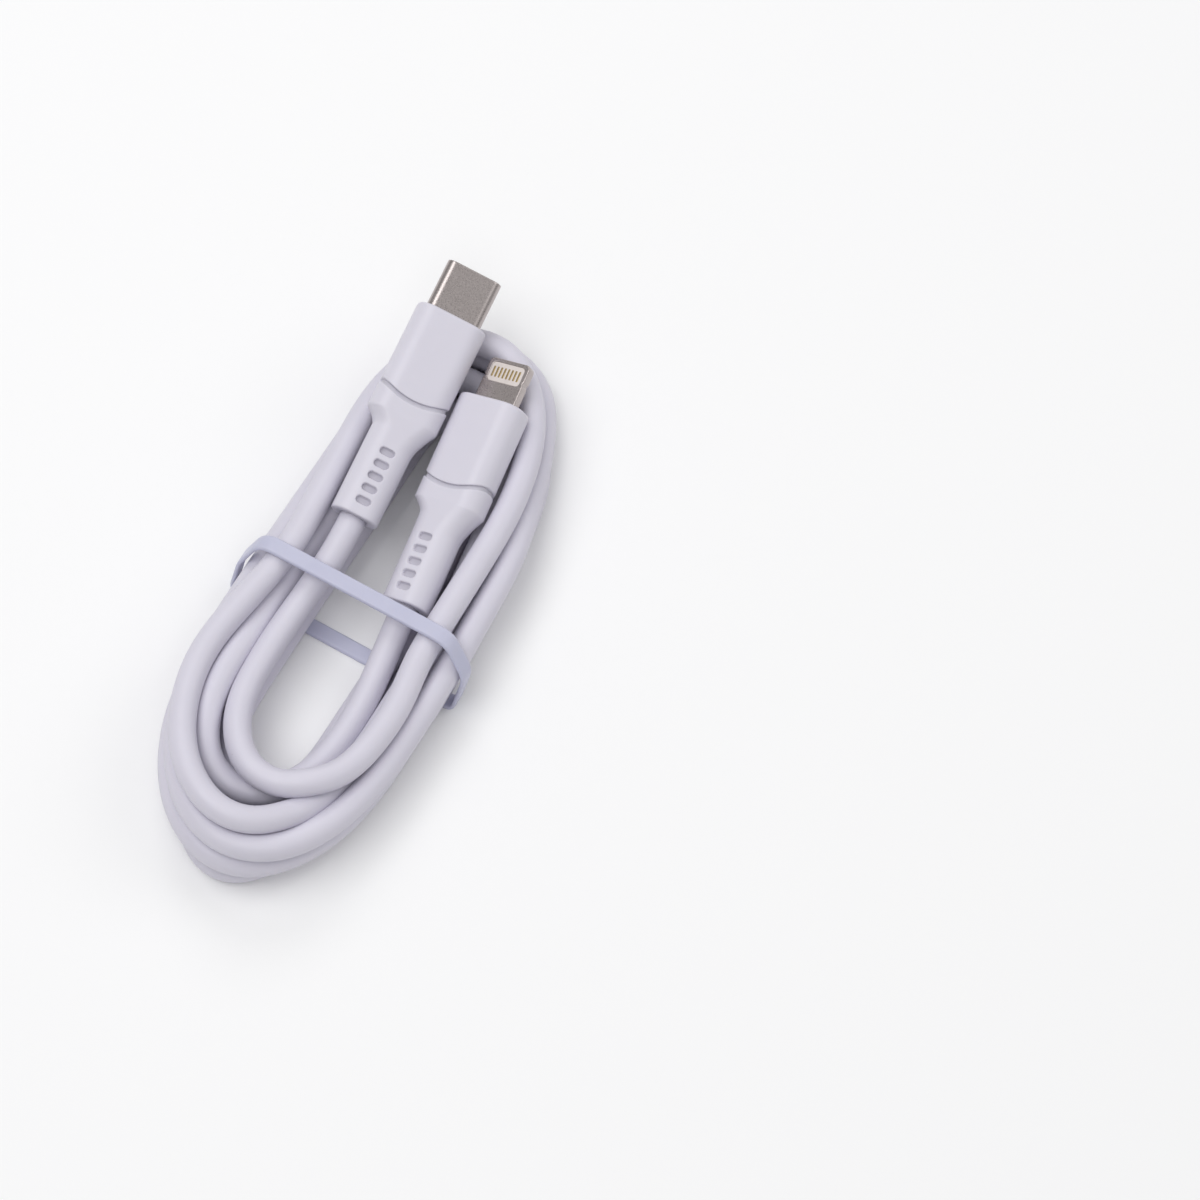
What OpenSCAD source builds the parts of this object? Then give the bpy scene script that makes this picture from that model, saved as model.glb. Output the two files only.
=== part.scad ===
// Charging cable wound into a flat oval hank and held by a stretch band.
// One end carries a wide oval metal plug for the charger, the other a thin
// eight-contact plug for the phone. Millimetres, +Z up. X runs along the hank
// towards the plugs, the hank rests on Z = 0.

/* [Cord] */
// Outside diameter of the cord jacket
cord_d = 3.9; // [3.6:0.05:4.2]
// Diameter of one insulated wire inside the jacket
wire_d = 0.8; // [0.5:0.05:0.85]
// Number of wires soldered to each board
wire_count = 4; // [2:1:4]

/* [Plug bodies] */
// Width of the moulded plug body
body_w = 10.5; // [10:0.1:10.6]
// Thickness of the moulded plug body
body_t = 6.2; // [5.8:0.1:6.2]
// Corner radius of the plug body section
body_r = 2.6; // [1.5:0.1:2.8]
// Length of the plug body in front of the parting groove
body_len = 12.4; // [11.5:0.1:12.6]
// Wall of the outer sleeve, which is also the depth of the groove
sleeve_wall = 0.6; // [0.4:0.05:0.7]
// Width of the parting groove
groove_w = 0.6; // [0.3:0.05:0.8]
// How far the groove bows towards the cord at mid width
groove_bow = 1.45; // [0.8:0.05:1.8]

/* [Bend relief boots] */
// Length of the boot behind the parting groove
boot_len = 19.1; // [18:0.1:20]
// Width of the narrow neck of the boot
neck_w = 7.0; // [6.4:0.1:7.4]
// Thickness of the narrow neck of the boot
neck_t = 5.7; // [5.5:0.1:6]
// Full-width length of the boot right behind the groove
shoulder_start = 3.8; // [3:0.1:4.2]
// Length of the steep hollow shoulder on the left of the boot
left_shoulder = 2.2; // [1.6:0.1:4]
// Length of the long hollow shoulder on the right of the boot
right_shoulder = 4.6; // [4:0.1:5]
// Number of shallow slots on each broad face
slot_count = 5; // [3:1:5]
// Spacing of the slots along the boot
slot_pitch = 1.9; // [1.6:0.05:2]
// Length of a slot across the boot
slot_l = 2.2; // [1.6:0.1:3]
// Width of a slot along the boot
slot_w = 1.05; // [0.8:0.05:1.2]
// Depth of a slot
slot_depth = 0.65; // [0.3:0.05:0.7]
// Distance from the groove to the middle of the first slot
slot_first = 9.3; // [9:0.1:10]

/* [Charger plug] */
// Width of the oval metal shell
shell_w = 8.25; // [8:0.05:8.3]
// Height of the oval metal shell
shell_t = 2.4; // [2.3:0.05:2.5]
// Wall of the metal shell
shell_wall = 0.25; // [0.2:0.01:0.3]
// Length of shell that shows in front of the body
shell_len = 7.4; // [6.5:0.1:7.6]
// Width of the mouth inside the shell
mouth_w = 6.6; // [6.2:0.1:6.8]
// Height of the mouth inside the shell
mouth_t = 0.9; // [0.8:0.05:1]
// Depth of the mouth
mouth_depth = 6.2; // [5:0.1:6.5]
// Contacts in each of the two rows
charger_contact_count = 12; // [8:1:12]
// Spacing of the contacts in a row
charger_contact_pitch = 0.5; // [0.45:0.01:0.5]

/* [Phone plug] */
// Width of the thin metal plug
tab_w = 6.7; // [6.5:0.05:6.8]
// Thickness of the thin metal plug
tab_t = 1.5; // [1.4:0.05:1.6]
// Length of plug that shows in front of the body
tab_len = 6.6; // [6:0.1:7]
// Corner radius at the tip of the plug
tab_r = 0.75; // [0.4:0.05:1]
// Width of the contact window
window_w = 5.4; // [5:0.1:5.6]
// Length of the contact window
window_l = 2.95; // [2.5:0.05:3.5]
// Metal left between the window and the tip
window_tip = 0.55; // [0.4:0.05:0.8]
// Contacts on each face
phone_contact_count = 8; // [6:1:8]
// Spacing of the contacts
phone_contact_pitch = 0.6; // [0.55:0.01:0.62]
// Width of the flange that locks the plug in its body
flange_w = 8.2; // [7.6:0.1:8.6]

/* [Boards and shields] */
// Thickness of the circuit boards
board_t = 0.6; // [0.5:0.05:0.6]
// Width of the circuit boards
board_w = 7.2; // [6.6:0.1:7.4]
// Wall of the shield cans
can_wall = 0.2; // [0.15:0.01:0.25]
// Outside width of the shield cans
can_w = 8.2; // [8:0.05:8.3]
// Outside height of the shield cans
can_t = 3.2; // [3:0.05:3.4]
// Length of the shield cans
can_len = 7.2; // [7:0.1:7.6]
// Side of the controller chip
chip_w = 3.0; // [2:0.1:3.4]
// Height of the controller chip
chip_t = 0.8; // [0.5:0.05:0.9]
// Length of the crimp ferrule
ferrule_l = 3.0; // [2:0.1:3.2]
// Wall of the crimp ferrule
ferrule_wall = 0.4; // [0.3:0.05:0.5]

/* [Stretch band] */
// Width of the band
band_w = 2.2; // [1.8:0.1:3]
// Thickness of the band
band_t = 0.6; // [0.5:0.05:0.8]
// How far the top of the band leans towards the plugs, in degrees
band_lean = 18; // [12:1:24]
// Clear height between the cord and the band where it turns over a corner
band_rise = 0.55; // [0.5:0.05:0.8]
// Distance that the band can be slid towards the loop end
band_travel = 9.0; // [5:0.5:9.5]

/* [Clearances] */
// Fit between pieces that stay together
fit = 0.04; // [0.03:0.01:0.06]
// Room between the coil and a piece that moves along it
slide_room = 0.35; // [0.3:0.05:0.4]

/* [Hidden] */
$fn = 48;
eps = 0.01;

white = [0.93, 0.93, 0.96];
band_white = [0.86, 0.88, 0.95];
steel = [0.62, 0.59, 0.56];
gold = [0.85, 0.68, 0.35];
board_green = [0.10, 0.32, 0.22];
near_black = [0.08, 0.08, 0.09];
copper = [0.72, 0.45, 0.30];

// Moves the whole part so that its box is centred on the origin
centring = [-1.25, 2.35, 0];

// The stations and routes below are written for a cord of this thickness.
// A thicker cord winds into a hank that is larger in the same proportion
route_cord_d = 3.9;
wind = cord_d / route_cord_d;

// Middle of each boot's cord end, and the turn of each plug: roll, nose-up
// and yaw, in degrees. The plugs lie on the coil, side by side
plug_gap = 2.05;
charger_tail = [8.3, 4.3, 10.6 * wind];
charger_turn = [16, 8.4, 4.5];
phone_tail = [1.1, charger_tail[1] - body_w - plug_gap, 8.4 * wind];
phone_turn = [-22, 7.3, 7.0];

// Stations of the coil. A side station is [y, z, x, y and hollow where the curve
// towards the plugs begins, x, y and hollow where the curve towards the loop
// end begins], a top or bottom station is [x, z, y]
right_at = wind * [[-14.0, 9.75, 16, -13.9, 0.2, -4, -14.8, 0],
    [-13.9, 5.85, 20, -11.9, 0, -18, -13.7, 0],
    [-17.8, 5.85, 14.5, -16.8, 7.5, -18, -17.3, 0],
    [-17.0, 1.95, 18, -14.9, 3.0, -18, -16.7, 0],
    [-13.0, 1.95, 20, -10.9, 0, -26, -12.7, 0],
    [-9.0, 1.95, 20, -6.9, 0, -22.5, -8.7, 0]];
top_at = wind * [[41.4, 8.7, 1.4], [41.2, 5.2, 1.4], [42.8, 1.95, 0.5],
    [39.2, 1.95, -1.5], [35.3, 1.95, -2.5], [37.2, 5.3, -0.3]];
left_at = wind * [[9.4, 9.4, 24, 11.6, 0, -16, 9.4, 0],
    [12.7, 5.85, 27, 12.0, 0, -16, 12.9, 1.0],
    [13.2, 1.95, 28, 12.9, 0, -16, 13.4, 2.4],
    [9.2, 1.95, 27, 9.0, 0, -24, 9.4, 2.0],
    [5.2, 1.95, 26, 5.0, 0, -22.5, 5.4, 0],
    [8.9, 5.85, 27, 8.2, 0, -6, 8.9, 0]];
bottom_at = wind * [[-38.4, 12.6, -4.0], [-40.8, 9.6, -4.4], [-42.4, 5.8, -4.6],
    [-42.8, 1.95, -4.0], [-30.2, 1.95, -2.2]];

// Plane in which both free runs of cord join the coil
join_x = -7 * wind;
// Distance over which the cord leaves a boot straight
straight = 3.5;
// Way of the cord from the charger plug's boot to the coil
charger_route = wind * [[1.0, 4.2, 9.0], [-4.0, 4.7, 8.0], [-10.0, 5.2, 7.5],
    [-16.0, 5.2, 7.7], [-21.5, 4.6, 8.3], [-26.0, 2.7, 9.2],
    [-30.1, -0.9, 9.8], [-31.6, -5.4, 9.9], [-30.5, -10.0, 9.9],
    [-27.0, -13.7, 9.9], [-21.0, -15.1, 9.8], [-14.0, -15.4, 9.75],
    [-10.0, -15.2, 9.75]];
// The point of it where the band turns over the right corner of the hank
band_corner = charger_route[11];
// Way of the cord from the coil to the phone plug's boot
phone_route = wind * [[-10.0, 8.8, 5.85], [-14.0, 8.7, 5.85], [-20.5, 8.3, 5.85],
    [-26.2, 7.2, 5.85], [-30.4, 4.7, 5.85], [-32.6, 0.9, 5.85],
    [-32.0, -3.2, 5.85], [-29.4, -6.9, 5.85], [-25.4, -9.4, 5.85],
    [-20.5, -10.4, 5.9], [-14.5, -10.4, 6.2], [-9.0, -9.7, 6.9]];

// Seams up to twice this wide between turns of a row count as closed
seam = 0.15;
// From here on the upper row dips under the plugs
plug_side_x = 22 * wind;
// Boxes that keep a part of a turn reach this far past everything
far_x = 60 * wind;
far_y = 30 * wind;

// Inside radius of the band where it turns under the hank
band_low_r = 0.8;
// Where the lower strand of the band crosses the hank at rest
band_x = -5.4;

// Derived lengths
tip_x = boot_len + body_len;
groove_r = (body_w * body_w / 4 + groove_bow * groove_bow) / (2 * groove_bow);
groove_cx = boot_len - groove_bow + groove_r;
core_w = body_w - 2 * sleeve_wall;
core_t = body_t - 2 * sleeve_wall;
core_r = max(body_r - sleeve_wall, 0.5);
core_x0 = boot_len - shoulder_start - 0.1;
core_x1 = tip_x - sleeve_wall;
can_x0 = boot_len + 0.8;
can_x1 = can_x0 + can_len;
contact_w = 0.25;
contact_t = 0.15;
// Length of each wire over its board and its can
wire_reach = 3.0;
wire_gap = 0.06;
tab_board_x = can_x1 - can_wall;

// Frames

module charger_place() {
    translate(centring + charger_tail)
        rotate([0, 0, charger_turn[2]])
            rotate([0, -charger_turn[1], 0])
                rotate([charger_turn[0], 0, 0])
                    children();
}

module phone_place() {
    translate(centring + phone_tail)
        rotate([0, 0, phone_turn[2]])
            rotate([0, -phone_turn[1], 0])
                rotate([phone_turn[0], 0, 0])
                    children();
}

// Direction of a plug's axis from its roll, nose-up and yaw
function axis_of(turn) = [cos(turn[1]) * cos(turn[2]),
    cos(turn[1]) * sin(turn[2]), sin(turn[1])];

// Sections and bars in a plug's own frame, X along its axis

module along_x(x0, x1) {
    translate([x0, 0, 0])
        rotate([90, 0, 90])
            linear_extrude(height = x1 - x0)
                children();
}

module rounded(w, t, r) {
    square([w - 2 * r, t], center = true);
    square([w, t - 2 * r], center = true);
    for (sy = [-1, 1], sz = [-1, 1])
        translate([sy * (w / 2 - r), sz * (t / 2 - r)])
            circle(r = r);
}

module stadium(w, t) {
    square([w - t, t], center = true);
    for (s = [-1, 1])
        translate([s * (w - t) / 2, 0])
            circle(d = t);
}

// Corner-rounded outline as a list of points, for lofted shapes
function rounded_points(w, t, r, n = 6) = [for (q = [0:3], i = [0:n])
    let (a = 90 * q + 90 * i / n,
        cy = (q == 0 || q == 3 ? 1 : -1) * (w / 2 - r),
        cz = (q < 2 ? 1 : -1) * (t / 2 - r))
    [cy + r * cos(a), cz + r * sin(a)]];

// Closed solid through a list of rings that all have the same point count
module loft(rings) {
    n = len(rings[0]);
    m = len(rings);
    points = [for (ring = rings, p = ring) p];
    sides = [for (k = [0:m - 2], i = [0:n - 1])
        let (j = (i + 1) % n)
        [k * n + i, k * n + j, (k + 1) * n + j, (k + 1) * n + i]];
    first = [for (i = [n - 1:-1:0]) i];
    last = [for (i = [0:n - 1]) (m - 1) * n + i];
    polyhedron(points = points, faces = concat([first], sides, [last]),
        convexity = 6);
}

// Plug body, boot and their filling, shared by both ends

// 0 in the neck, 1 at full width, hollow towards the neck
function shoulder(x, reach) = let (f = (boot_len - x - shoulder_start) / reach)
    f <= 0 ? 1 : f >= 1 ? 0 : pow(1 - f, 1.6);

function boot_ring(x, inset = 0) = let (step = (body_w - neck_w) / 2,
        left = neck_w / 2 + step * shoulder(x, left_shoulder) - inset,
        right = neck_w / 2 + step * shoulder(x, right_shoulder) - inset,
        t = neck_t + (body_t - neck_t) * shoulder(x, right_shoulder) - 2 * inset,
        r = min(body_r, t / 2 - 0.05))
    [for (p = rounded_points(left + right, t, r))
        [x, p[0] + (left - right) / 2, p[1]]];

module groove_cylinder(r) {
    translate([groove_cx, 0, -body_t])
        cylinder(r = r, h = 2 * body_t, $fn = 120);
}

module plug_body(opening_w, opening_t) {
    color(white) difference() {
        intersection() {
            along_x(boot_len - groove_bow, tip_x)
                rounded(body_w, body_t, body_r);
            groove_cylinder(groove_r - groove_w / 2);
        }
        along_x(boot_len - groove_bow - 1, core_x1 + fit)
            rounded(core_w + 2 * fit, core_t + 2 * fit, core_r);
        along_x(core_x1 - 1, tip_x + 1)
            stadium(opening_w + 2 * fit, opening_t + 2 * fit);
    }
}

module boot() {
    neck_end = boot_len - shoulder_start - right_shoulder;
    stations = concat([0.35, neck_end / 2],
        [for (i = [0:10]) neck_end + right_shoulder * i / 10],
        [boot_len + eps]);
    rings = concat([boot_ring(0, 0.3)], [for (x = stations) boot_ring(x)]);
    color(white) difference() {
        loft(rings);
        groove_cylinder(groove_r + groove_w / 2);
        along_x(core_x0 - fit, boot_len + 1)
            rounded(core_w + 2 * fit, core_t + 2 * fit, core_r);
        along_x(-1, core_x0)
            circle(d = cord_d + 2 * fit);
        along_x(ferrule_x0() - fit, core_x0)
            circle(d = cord_d + 2 * ferrule_wall + 4 * fit);
        for (i = [0:slot_count - 1], s = [-1, 1])
            translate([boot_len - slot_first - i * slot_pitch, 0,
                    s * (neck_t / 2 - slot_depth + (s < 0 ? -1 : 0))])
                linear_extrude(height = slot_depth + (s < 0 ? 0.5 : 1))
                    rotate(90)
                        stadium(slot_l, slot_w);
    }
}

function ferrule_x0() = core_x0 - ferrule_l - 0.4;

module ferrule() {
    color(steel) along_x(ferrule_x0(), ferrule_x0() + ferrule_l)
        difference() {
            circle(d = cord_d + 2 * ferrule_wall + 2 * fit);
            circle(d = cord_d + 2 * fit);
        }
}

module cord_stub() {
    color(white) along_x(0, core_x0 - fit)
        circle(d = cord_d);
}

// Wires lie side by side on the board's top face
function wire_y(i) = (i - (wire_count - 1) / 2) * (wire_d + wire_gap);

module wires(x1, grow = 0) {
    for (i = [0:wire_count - 1])
        translate([0, wire_y(i), board_t / 2 + wire_d / 2 + fit])
            along_x(core_x0 - fit, x1)
                circle(d = wire_d + 2 * grow, $fn = 24);
}

module chip_block(x) {
    color(near_black)
        translate([x, -chip_w / 2, -board_t / 2 - chip_t])
            cube([chip_w, chip_w, chip_t]);
}

module shield_can(front_open_w, front_open_t) {
    color(steel) difference() {
        along_x(can_x0, can_x1)
            rounded(can_w, can_t, 0.5);
        along_x(can_x0 - 1, can_x1 - can_wall)
            rounded(can_w - 2 * can_wall, can_t - 2 * can_wall, 0.3);
        along_x(can_x1 - 1, can_x1 + 1)
            square([front_open_w, front_open_t], center = true);
    }
}

module inner_mould() {
    difference() {
        along_x(core_x0, core_x1)
            rounded(core_w, core_t, core_r);
        along_x(can_x0 - fit, can_x1 + fit)
            rounded(can_w + 2 * fit, can_t + 2 * fit, 0.5 + fit);
        wires(can_x0 + 1, fit);
        children();
    }
}

// Charger end

module charger_shell() {
    color(steel) charger_place() along_x(can_x1 + fit, tip_x + shell_len)
        difference() {
            stadium(shell_w, shell_t);
            stadium(shell_w - 2 * shell_wall, shell_t - 2 * shell_wall);
        }
}

module contact_row(count, pitch, x0, x1, z0, z1, w) {
    for (i = [0:count - 1])
        translate([x0, (i - (count - 1) / 2) * pitch - w / 2, z0])
            cube([x1 - x0, w, z1 - z0]);
}

charger_contact_x1 = tip_x + shell_len - 0.9;
charger_contact_x0 = can_x1 - 1.6;

module charger_contact_bars(s, grow = 0) {
    z_in = s * (mouth_t / 2 - contact_t);
    z_out = s * mouth_t / 2;
    contact_row(charger_contact_count, charger_contact_pitch,
        charger_contact_x0 - grow, charger_contact_x1 + grow,
        min(z_in, z_out) - grow, max(z_in, z_out) + grow, contact_w + 2 * grow);
}

latch_w = 0.3;
latch_h = 0.6;
// How far the latches reach behind the mouth, and stay back in it
latch_root = 1.0;
latch_back = 1.2;

module latch_bars(grow = 0) {
    for (s = [-1, 1])
        translate([tip_x + shell_len - mouth_depth - latch_root,
                s * (mouth_w / 2 + latch_w / 2 + fit) - latch_w / 2 - grow,
                -latch_h / 2 - grow])
            cube([mouth_depth + latch_root - latch_back, latch_w + 2 * grow, latch_h + 2 * grow]);
}

module charger_insulator() {
    color(near_black) charger_place() difference() {
        union() {
            along_x(can_x1 + fit, tip_x + shell_len - 0.35)
                stadium(shell_w - 2 * shell_wall - 2 * fit,
                    shell_t - 2 * shell_wall - 2 * fit);
            along_x(can_x1 - can_wall - 0.4, can_x1 + 1)
                square([mouth_w, mouth_t + 0.7], center = true);
        }
        along_x(tip_x + shell_len - mouth_depth, tip_x + shell_len + 1)
            stadium(mouth_w, mouth_t);
        charger_contact_bars(1, fit);
        charger_contact_bars(-1, fit);
        latch_bars(fit);
    }
}

module charger_contacts_top() {
    color(gold) charger_place() charger_contact_bars(1);
}

module charger_contacts_bottom() {
    color(gold) charger_place() charger_contact_bars(-1);
}

module charger_latches() {
    color(steel) charger_place() latch_bars();
}

// The board ends between the two rows of contact tails
charger_board_x1 = can_x1 - can_wall - 0.4 - fit;

module charger_board() {
    color(board_green) charger_place()
        translate([can_x0 + 0.3, -board_w / 2, -board_t / 2])
            cube([charger_board_x1 - can_x0 - 0.3, board_w, board_t]);
}

module charger_chip() {
    charger_place() chip_block(can_x0 + 1.6);
}

module charger_shield() {
    charger_place() shield_can(mouth_w + 2 * fit, mouth_t + 0.7 + 2 * fit);
}

module charger_inner_mould() {
    color(band_white) charger_place() inner_mould()
        along_x(can_x1 - 1, tip_x + 1)
            stadium(shell_w + 2 * fit, shell_t + 2 * fit);
}

module charger_body() {
    charger_place() plug_body(shell_w, shell_t);
}

module charger_boot() {
    charger_place() boot();
}

module charger_ferrule() {
    charger_place() ferrule();
}

module charger_wires() {
    color(copper) charger_place() wires(can_x0 + wire_reach);
}

module charger_cord_stub() {
    charger_place() cord_stub();
}

// Phone end

window_x1 = tip_x + tab_len - window_tip;
window_x0 = window_x1 - window_l;
detent_r = 0.45;

module tab_outline(x0, x1, w, r) {
    translate([x0, -w / 2])
        square([x1 - x0 - r, w]);
    translate([x1 - r - eps, -w / 2 + r])
        square([r + eps, w - 2 * r]);
    for (s = [-1, 1])
        translate([x1 - r, s * (w / 2 - r)])
            circle(r = r);
}

module phone_plug_frame() {
    color(steel) phone_place() difference() {
        union() {
            translate([0, 0, -tab_t / 2])
                linear_extrude(height = tab_t)
                    tab_outline(tab_board_x + fit, tip_x + tab_len, tab_w,
                        tab_r);
            translate([can_x1 + fit, -flange_w / 2, -tab_t / 2 - 0.3])
                cube([1.2, flange_w, tab_t + 0.6]);
        }
        translate([window_x0, -window_w / 2, -tab_t])
            cube([window_l, window_w, 2 * tab_t]);
        for (s = [-1, 1])
            translate([window_x0 + 0.6, s * (tab_w / 2 + 0.15), -tab_t])
                cylinder(r = detent_r, h = 2 * tab_t, $fn = 24);
        translate([tab_board_x - 1, -phone_tail_w / 2, -tab_t])
            cube([window_x0 - tab_board_x + 1 + eps, phone_tail_w, 2 * tab_t]);
    }
}

phone_contact_w = 0.4;
phone_contact_t = 0.2;
phone_contact_l = 1.6;
// Channel through the plug in which the contact bed reaches the board
phone_tail_w = 4.2;

module phone_pads(s, grow = 0) {
    z_out = s * tab_t / 2;
    z_in = s * (tab_t / 2 - phone_contact_t);
    mid = (window_x0 + window_x1) / 2;
    contact_row(phone_contact_count, phone_contact_pitch,
        mid - phone_contact_l / 2 - grow, mid + phone_contact_l / 2 + grow,
        min(z_in, z_out) - grow, max(z_in, z_out) + grow,
        phone_contact_w + 2 * grow);
}

module phone_contact_bed() {
    color(white) phone_place() difference() {
        union() {
            translate([window_x0 + fit, -window_w / 2 + fit, -tab_t / 2])
                cube([window_l - 2 * fit, window_w - 2 * fit, tab_t]);
            translate([tab_board_x + fit, -phone_tail_w / 2 + fit,
                    -tab_t / 2 + 0.1])
                cube([window_x0 - tab_board_x, phone_tail_w - 2 * fit,
                    tab_t - 0.2]);
        }
        phone_pads(1, fit);
        phone_pads(-1, fit);
    }
}

module phone_contacts_top() {
    color(gold) phone_place() phone_pads(1);
}

module phone_contacts_bottom() {
    color(gold) phone_place() phone_pads(-1);
}

module phone_board() {
    color(board_green) phone_place()
        translate([can_x0 + 0.3, -board_w / 2, -board_t / 2])
            cube([tab_board_x - can_x0 - 0.3, board_w, board_t]);
}

module phone_chip() {
    phone_place() chip_block(can_x0 + 1.6);
}

module phone_shield() {
    phone_place() shield_can(tab_w + 2 * fit, tab_t + 2 * fit);
}

module phone_inner_mould() {
    color(band_white) phone_place() inner_mould() {
        along_x(can_x1 - 1, tip_x + 1)
            square([tab_w + 2 * fit, tab_t + 2 * fit], center = true);
        along_x(can_x1 - 1, can_x1 + 1.2 + 2 * fit)
            square([flange_w + 2 * fit, tab_t + 0.6 + 2 * fit], center = true);
    }
}

module phone_body() {
    phone_place() color(white) difference() {
        intersection() {
            along_x(boot_len - groove_bow, tip_x)
                rounded(body_w, body_t, body_r);
            groove_cylinder(groove_r - groove_w / 2);
        }
        along_x(boot_len - groove_bow - 1, core_x1 + fit)
            rounded(core_w + 2 * fit, core_t + 2 * fit, core_r);
        along_x(core_x1 - 1, tip_x + 1)
            square([tab_w + 2 * fit, tab_t + 2 * fit], center = true);
    }
}

module phone_boot() {
    phone_place() boot();
}

module phone_ferrule() {
    phone_place() ferrule();
}

module phone_wires() {
    color(copper) phone_place() wires(can_x0 + wire_reach);
}

module phone_cord_stub() {
    phone_place() cord_stub();
}

// Free runs of cord

function unit(v) = v / norm(v);

function tangent(p, i) = i == 0 ? unit(p[1] - p[0])
    : i == len(p) - 1 ? unit(p[i] - p[i - 1])
    : unit(unit(p[i + 1] - p[i]) + unit(p[i] - p[i - 1]));

function cord_ring(p, i, sides) = let (t = tangent(p, i),
        side = unit(cross(t, [0, 0, 1])),
        up = cross(side, t))
    [for (k = [0:sides - 1]) let (a = 360 * (k + 0.5) / sides)
        p[i] + cord_d / 2 * (cos(a) * up + sin(a) * side)];

module cord_along(p, sides = 8) {
    translate(centring)
        loft([for (i = [0:len(p) - 1]) cord_ring(p, i, sides)]);
}

module cord_charger_run() {
    back = axis_of(charger_turn);
    color(white) cord_along(concat(
        [charger_tail, charger_tail - straight * back], charger_route,
        [[join_x, right_at[0][0], right_at[0][1]]]));
}

module cord_phone_run() {
    back = axis_of(phone_turn);
    color(white) cord_along(concat(
        [[join_x, left_at[5][0], left_at[5][1]]], phone_route,
        [phone_tail - straight * back, phone_tail]));
}

// Coil: rings of cord in plan, stacked in rows of one diameter

// Quarter oval from a side to an end. The hollow draws its middle inwards
function quarter(x0, y_side, hollow, x_end, y_mid, n = 9) = [for (i = [0:n])
    let (a = 90 * i / n, inward = sign(y_mid - y_side) * hollow)
    [x0 + (x_end - x0) * sin(a),
        y_mid + (y_side - y_mid) * cos(a) + inward * sin(a) * cos(a)]];

function reversed(v) = [for (i = [len(v) - 1:-1:0]) v[i]];

// Plan of a turn through one right, top, left and bottom station
function turn_plan(r, t, l, b) = concat(
    [[0, r[0]]],
    quarter(r[2], r[3], r[4], t[0], t[2]),
    reversed(quarter(l[2], l[3], l[4], t[0], t[2])),
    [[0, l[0]]],
    quarter(l[5], l[6], l[7], b[0], b[2]),
    reversed(quarter(r[5], r[6], r[7], b[0], b[2])));

module ring_of(r, t, l, b) {
    plan = turn_plan(r, t, l, b);
    difference() {
        offset(delta = cord_d / 2) polygon(plan);
        offset(delta = -cord_d / 2) polygon(plan);
    }
}

// One row of the coil in layers that narrow above and below like round cord
module row_of(z) {
    for (layer = [[0, 0.5], [0.2, 0.8], [0.5, 1]])
        translate([0, 0, z + eps / 2])
            linear_extrude(height = cord_d * layer[1] + eps, center = true)
                offset(delta = -seam - layer[0] * cord_d / 2)
                    offset(delta = seam, chamfer = true)
                        children();
}

module keep(x0, x1, y0, y1) {
    intersection() {
        children();
        translate([x0, y0])
            square([x1 - x0, y1 - y0]);
    }
}

// Underside channel in which the lower strand of the band lies and travels
module band_channel() {
    reach = (band_w / 2) / cos(band_lean) + slide_room;
    low = band_x - band_travel - reach;
    high = band_x + reach + band_t;
    translate([low, -far_y, -band_t])
        cube([high - low, 2 * far_y, 2 * band_t + slide_room]);
}

module cord_coil() {
    color(white) translate(centring) difference() {
        union() {
            row_of(cord_d / 2) {
                ring_of(right_at[3], top_at[2], left_at[2], bottom_at[3]);
                ring_of(right_at[4], top_at[3], left_at[3], bottom_at[3]);
                ring_of(right_at[5], top_at[4], left_at[4], bottom_at[4]);
            }
            row_of(1.5 * cord_d) {
                ring_of(right_at[2], top_at[1], left_at[1], bottom_at[2]);
                keep(-far_x, far_x, -far_y, -2 * wind)
                    ring_of(right_at[1], top_at[5], left_at[5], bottom_at[2]);
                keep(join_x, far_x, -far_y, far_y)
                    ring_of(right_at[1], top_at[5], left_at[5], bottom_at[2]);
            }
            row_of(2.5 * cord_d) {
                keep(join_x, plug_side_x, -far_y, far_y)
                    ring_of(right_at[0], top_at[0], left_at[0], bottom_at[0]);
                keep(-31 * wind, join_x + wind, 2 * wind, far_y)
                    ring_of(right_at[1], top_at[0], left_at[0], bottom_at[0]);
                keep(-far_x, -29.7 * wind, -14 * wind, 12 * wind)
                    ring_of(right_at[2], top_at[1], left_at[1], bottom_at[1]);
            }
            row_of(top_at[0][1])
                keep(plug_side_x - wind, far_x, -far_y, far_y)
                    ring_of(right_at[0], top_at[0], left_at[0], bottom_at[0]);
            // A little wider than the part below it, so that no two walls coincide
            row_of(bottom_at[0][1])
                keep(-far_x, -30 * wind, -11 * wind, 8 * wind)
                    offset(delta = 0.05)
                        ring_of(right_at[1], top_at[0], left_at[0], bottom_at[0]);
        }
        band_channel();
    }
}

// Band: the outline that it is stretched over, leaned along X

module band_hull(grow) {
    upper_r = cord_d / 2 + band_rise;
    low = band_t + band_low_r;
    reach = upper_r - band_low_r;
    hull() {
        translate([left_at[2][0] + reach, low])
            circle(r = band_low_r + grow, $fn = 32);
        translate([left_at[1][0], left_at[1][1]])
            circle(r = upper_r + grow, $fn = 32);
        translate([left_at[0][0], left_at[0][1]])
            circle(r = upper_r + grow, $fn = 32);
        translate([band_corner[1], band_corner[2]])
            circle(r = upper_r + grow, $fn = 32);
        translate([right_at[2][0], right_at[2][1]])
            circle(r = upper_r + grow, $fn = 32);
        translate([right_at[3][0] - reach, low])
            circle(r = band_low_r + grow, $fn = 32);
    }
}

module tie_band() {
    width = band_w / cos(band_lean);
    color(band_white) translate(centring + [band_x, 0, 0])
        multmatrix([[1, 0, tan(band_lean), 0], [0, 1, 0, 0], [0, 0, 1, 0]])
            along_x(-width / 2, width / 2)
                difference() {
                    band_hull(band_t);
                    band_hull(0);
                }
}

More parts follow.
